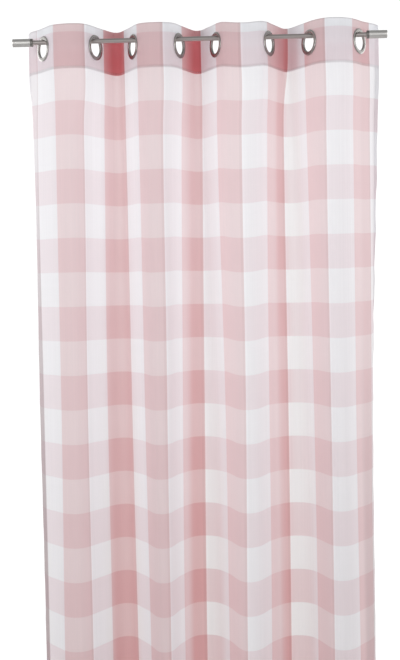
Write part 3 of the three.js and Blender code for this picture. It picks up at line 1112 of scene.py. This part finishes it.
class CURTAIN_OT_eyelets(bpy.types.Operator):
    """Turns one eyelet and copies it to its places along the heading"""

    bl_idname = "curtain.eyelets"
    bl_label = "Eyelets"

    BORE = 21.0
    # Room between the barrel and the edge of the hole in the cloth
    ROOM = 0.3
    # Half the groove for the cloth and half the thickness, and the radii of the two roundings
    GROOVE = 1.25
    FACE = 2.8
    INNER_ROLL = 1.25
    OUTER_ROLL = 2.1
    EDGE = 0.35
    # How far the middle of the groove lies behind the face of the cloth
    MIDDLE = 1.1

    def outline(self, rim, hole):
        """Front flange, barrel and back flange, with a groove for the cloth."""
        bore, edge, inner, outer = self.BORE, self.EDGE, self.INNER_ROLL, self.OUTER_ROLL
        half = [(hole, self.GROOVE), (rim - edge, self.GROOVE)]
        half += arc((rim - edge, self.GROOVE + edge), edge, -60, 30, 4)
        half += arc((rim - outer - 0.5, self.FACE - outer), outer, 35, 90, 5)
        half += arc((bore + inner, self.FACE - inner), inner, 90, 180, 7)
        half += [(bore, 0.35), (bore + 0.16, 0.12)]
        mirrored = [(r, -h) for r, h in reversed(half)]
        return [(r * MM, h * MM) for r, h in [*half, *mirrored]]

    def execute(self, context):
        metal = context.scene.metal_look
        sizes = context.scene.cloth_sizes
        drape = Drape(sizes)
        outline = self.outline(RING_RADIUS / MM, in_mm(sizes.hole) - self.ROOM)
        first = turned_profile("eyelet", outline, metal.sides, True)
        material = brushed_metal("eyelet_nickel", metal.nickel, (60.0, 60.0, 900.0), 0.18)
        first.data.materials.append(material)
        blank = first.data.copy()
        _, x, lean, _ = drape.lines(drape.eyelet_drop)
        for i in range(EYELETS):
            piece = first if i == 0 else first.copy()
            if i > 0:
                piece.data = blank.copy()
                context.scene.collection.objects.link(piece)
            angle = lean[i] if i % 2 == 0 else -lean[i]
            piece.name = piece.data.name = f"metal_eyelet_{i + 1}"
            normal = Vector((math.sin(angle), math.cos(angle), 0))
            place = Vector((x[i] * MM, 0, RING_HEIGHT)) + normal * self.MIDDLE * MM
            # The front flange faces the camera's side, so the sweep's +Z points to the front
            turn = (-normal).to_track_quat("Z", "Y").to_matrix().to_4x4()
            settle(piece, Matrix.Translation(place) @ turn)
            declare(piece, "eyelet_nickel", f"eyelet_{i + 1}")
        return {"FINISHED"}


class CURTAIN_OT_rod(bpy.types.Operator):
    """Turns the thin steel rod"""

    bl_idname = "curtain.rod"
    bl_label = "Rod"

    # The wall of the tube, the bevel of its edges, and how deep its ends are open
    WALL = 0.8 * MM
    BEVEL = 0.3 * MM
    OPENING = 20 * MM

    def execute(self, context):
        metal = context.scene.metal_look
        half = ROD_HIGH[0]
        bore = ROD_RADIUS - self.WALL
        bevel = self.BEVEL
        outline = [
            (bore, -half + self.OPENING), (bore, -half),
            (ROD_RADIUS - bevel, -half), (ROD_RADIUS, -half + bevel),
        ]
        outline += [(ROD_RADIUS, half * float(share)) for share in np.linspace(-0.9, 0.9, 19)]
        outline += [
            (ROD_RADIUS, half - bevel), (ROD_RADIUS - bevel, half),
            (bore, half), (bore, half - self.OPENING),
        ]
        piece = turned_profile("steel_rod", outline, metal.sides, False)
        material = brushed_metal("rod_steel", metal.steel, (30.0, 2200.0, 2200.0), 0.3)
        piece.data.materials.append(material)
        settle(piece, Matrix.Rotation(math.radians(90), 4, "Y"))
        declare(piece, "rod_steel", "rod")
        return {"FINISHED"}


class CURTAIN_OT_end_caps(bpy.types.Operator):
    """Turns the two end caps that are pushed over the rod"""

    bl_idname = "curtain.end_caps"
    bl_label = "End caps"

    # In millimetres: the play on the rod, the thickness of the closed end, and the outer bevels
    ROOM = 0.35
    BOTTOM = 8
    BEVEL = 1.0
    # Length of the painted shade at the cap's inner end
    SHADED_END = 6 * MM

    def execute(self, context):
        metal = context.scene.metal_look
        radius = CAP_RADIUS / MM
        length = (CAP_HIGH[0] - CAP_LOW[0]) / MM
        bore = ROD_RADIUS / MM + self.ROOM
        bevel = self.BEVEL
        outline = [(bore, length - self.BOTTOM), (bore, 0.5), (bore + 0.5, 0.0)]
        outline += arc((radius - bevel, bevel), bevel, -90, 0, 5)
        # A shallow groove near each end
        outline += [(radius, 3.2), (radius - 0.35, 3.5), (radius - 0.35, 4.3), (radius, 4.6)]
        outline += [(radius, 20.0), (radius, length - 5.0), (radius - 0.3, length - 4.7)]
        outline += [(radius - 0.3, length - 4.1), (radius, length - 3.8)]
        outline += arc((radius - bevel, length - bevel), bevel, 0, 90, 5)
        outline += [(radius * 0.5, length)]
        outline = [(r * MM, h * MM) for r, h in outline]
        # Painted shade on the cap's inner end
        shaded_end = CAP_LOW[0] + self.SHADED_END
        material = brushed_metal("cap_steel", metal.cap, (40.0, 2000.0, 2000.0), 0.36, shaded_end)
        for name, sign in (("right", 1), ("left", -1)):
            piece = turned_profile(f"steel_cap_{name}", outline, metal.sides, False)
            piece.data.materials.append(material)
            turn = Matrix.Rotation(math.radians(90 * sign), 4, "Y")
            start = Vector((sign * CAP_LOW[0], 0, 0))
            settle(piece, Matrix.Translation(start) @ turn)
            declare(piece, "rod_steel", f"end_cap_{name}")
        return {"FINISHED"}


class CURTAIN_OT_stage(bpy.types.Operator):
    """Sets the floor, the soft studio light and the camera"""

    bl_idname = "curtain.stage"
    bl_label = "Stage"

    # Colours of the studio from underfoot at 0 to overhead at 1
    SKY = (
        (0.2, (0.35, 0.35, 0.36, 1)), (0.36, (1, 1, 1, 1)),
        (0.64, (1, 1, 1, 1)), (0.8, (0.45, 0.45, 0.45, 1)),
    )
    # Strength of the studio's light, and how much is added from behind and from the sides
    GLOW = 0.84
    GLOW_BEHIND = 0.22
    GLOW_SIDES = 0.25
    # Four square lamps stand round the curtain and point at it, in metres and watts
    LAMP_SIDE = 1.2
    LAMP_DISTANCE = 1.35
    LAMP_HEIGHT = -0.1
    LAMP_TARGET = (0, 0, -0.3)
    LAMP_POWERS = (("left", -1, 11.5), ("right", 1, 10))
    FLOOR_SIZE = (9.0, 6.0, 1.0)
    FLOOR_MIDDLE = -0.4
    FLOOR_BELOW = 0.03

    def world(self, scene):
        """White at eye level, greyer overhead and underfoot, and brighter behind the curtain."""
        world = bpy.data.worlds.new("studio")
        scene.world = world
        s = Shader(world)
        direction = s.out(s.node("ShaderNodeTexCoord"), 0)
        axes = s.node("ShaderNodeSeparateXYZ", None, Vector=direction)
        sideways = s.out(axes, 0).math("ABSOLUTE")
        behind, height = s.out(axes, 1), s.out(axes, 2)
        ramp = s.node("ShaderNodeValToRGB", None, Fac=height * 0.5 + 0.5)
        stops = ramp.color_ramp.elements
        for i, (position, shade) in enumerate(self.SKY):
            stop = stops[i] if i < len(stops) else stops.new(position)
            stop.position = position
            stop.color = shade
        strength = behind * self.GLOW_BEHIND + sideways * self.GLOW_SIDES + self.GLOW
        back = s.node("ShaderNodeBackground", None, Color=s.out(ramp), Strength=strength)
        s.node("ShaderNodeOutputWorld", None, Surface=s.out(back))

    def light(self, name, place, power):
        lamp = bpy.data.lights.new(name, "AREA")
        lamp.shape = "RECTANGLE"
        lamp.size = lamp.size_y = self.LAMP_SIDE
        lamp.energy = power
        holder = add_object(name, lamp)
        holder.location = place
        aim = Vector(self.LAMP_TARGET) - Vector(place)
        holder.rotation_euler = aim.to_track_quat("-Z", "Y").to_euler()
        holder.visible_camera = False

    def floor(self, look):
        bpy.ops.object.select_all(action="DESELECT")
        bpy.ops.mesh.primitive_plane_add(size=1, location=(0, 0, 0))
        floor = bpy.context.object
        floor.name = floor.data.name = "studio_floor"
        floor.scale = self.FLOOR_SIZE
        floor.location = (0, self.FLOOR_MIDDLE, CAD_BOX[0][2] - self.FLOOR_BELOW)
        bpy.ops.object.transform_apply(location=True, rotation=True, scale=True)
        material, s, place = patterned("floor_paint")
        cloudy = s.noise(place, 1.5, 3.0)
        shade = s.blend(cloudy, rgba(look.floor, 0.97), rgba(look.floor))
        s.finish(s.principled(shade, 0.8))
        floor.data.materials.append(material)

    def camera(self, scene, look):
        data = bpy.data.cameras.new("camera")
        data.lens = look.lens
        data.sensor_width = 36.0
        camera = add_object("camera", data)
        turn = Matrix.Rotation(look.turn, 4, "Z")
        tilt = Matrix.Rotation(math.radians(90) + look.tilt, 4, "X")
        roll = Matrix.Rotation(look.roll, 4, "Z")
        camera.matrix_world = Matrix.Translation(look.camera) @ turn @ tilt @ roll
        scene.camera = camera

    def execute(self, context):
        scene = context.scene
        look = scene.stage_look
        self.world(scene)
        reach = self.LAMP_DISTANCE
        for side, sign, power in self.LAMP_POWERS:
            for name, y in (("front", -reach), ("back", reach)):
                self.light(f"{name}_{side}_light", (sign * reach, y, self.LAMP_HEIGHT), power)
        self.floor(look)
        self.camera(scene, look)
        scene.view_settings.view_transform = "Standard"
        return {"FINISHED"}


class CURTAIN_PT_panel(bpy.types.Panel):
    """The curtain's pieces and sizes in the sidebar"""

    bl_idname = "CURTAIN_PT_panel"
    bl_label = "Checked Curtain"
    bl_space_type = "VIEW_3D"
    bl_region_type = "UI"
    bl_category = "Curtain"

    def draw(self, context):
        layout = self.layout
        for name in GROUPS:
            group = getattr(context.scene, name)
            for value in group.__annotations__:
                layout.prop(group, value)
        for operator in OPERATORS:
            layout.operator(operator.bl_idname)


GROUPS = {
    "cloth_sizes": ClothSizes,
    "check_look": CheckLook,
    "metal_look": MetalLook,
    "stage_look": StageLook,
}
OPERATORS = (
    CURTAIN_OT_panel,
    CURTAIN_OT_stitching,
    CURTAIN_OT_eyelets,
    CURTAIN_OT_rod,
    CURTAIN_OT_end_caps,
    CURTAIN_OT_stage,
)


def register():
    for name, group in GROUPS.items():
        bpy.utils.register_class(group)
        setattr(bpy.types.Scene, name, PointerProperty(type=group))
    for cls in (*OPERATORS, CURTAIN_PT_panel):
        bpy.utils.register_class(cls)


def unregister():
    for cls in (CURTAIN_PT_panel, *reversed(OPERATORS)):
        bpy.utils.unregister_class(cls)
    for name, group in GROUPS.items():
        delattr(bpy.types.Scene, name)
        bpy.utils.unregister_class(group)


def corners(box):
    return [[float(value) for value in corner] for corner in box]


def main():
    register()
    bpy.ops.curtain.panel()
    bpy.ops.curtain.stitching()
    bpy.ops.curtain.eyelets()
    bpy.ops.curtain.rod()
    bpy.ops.curtain.end_caps()
    bpy.ops.curtain.stage()
    bpy.context.view_layer.update()


if __name__ == "__main__":
    main()
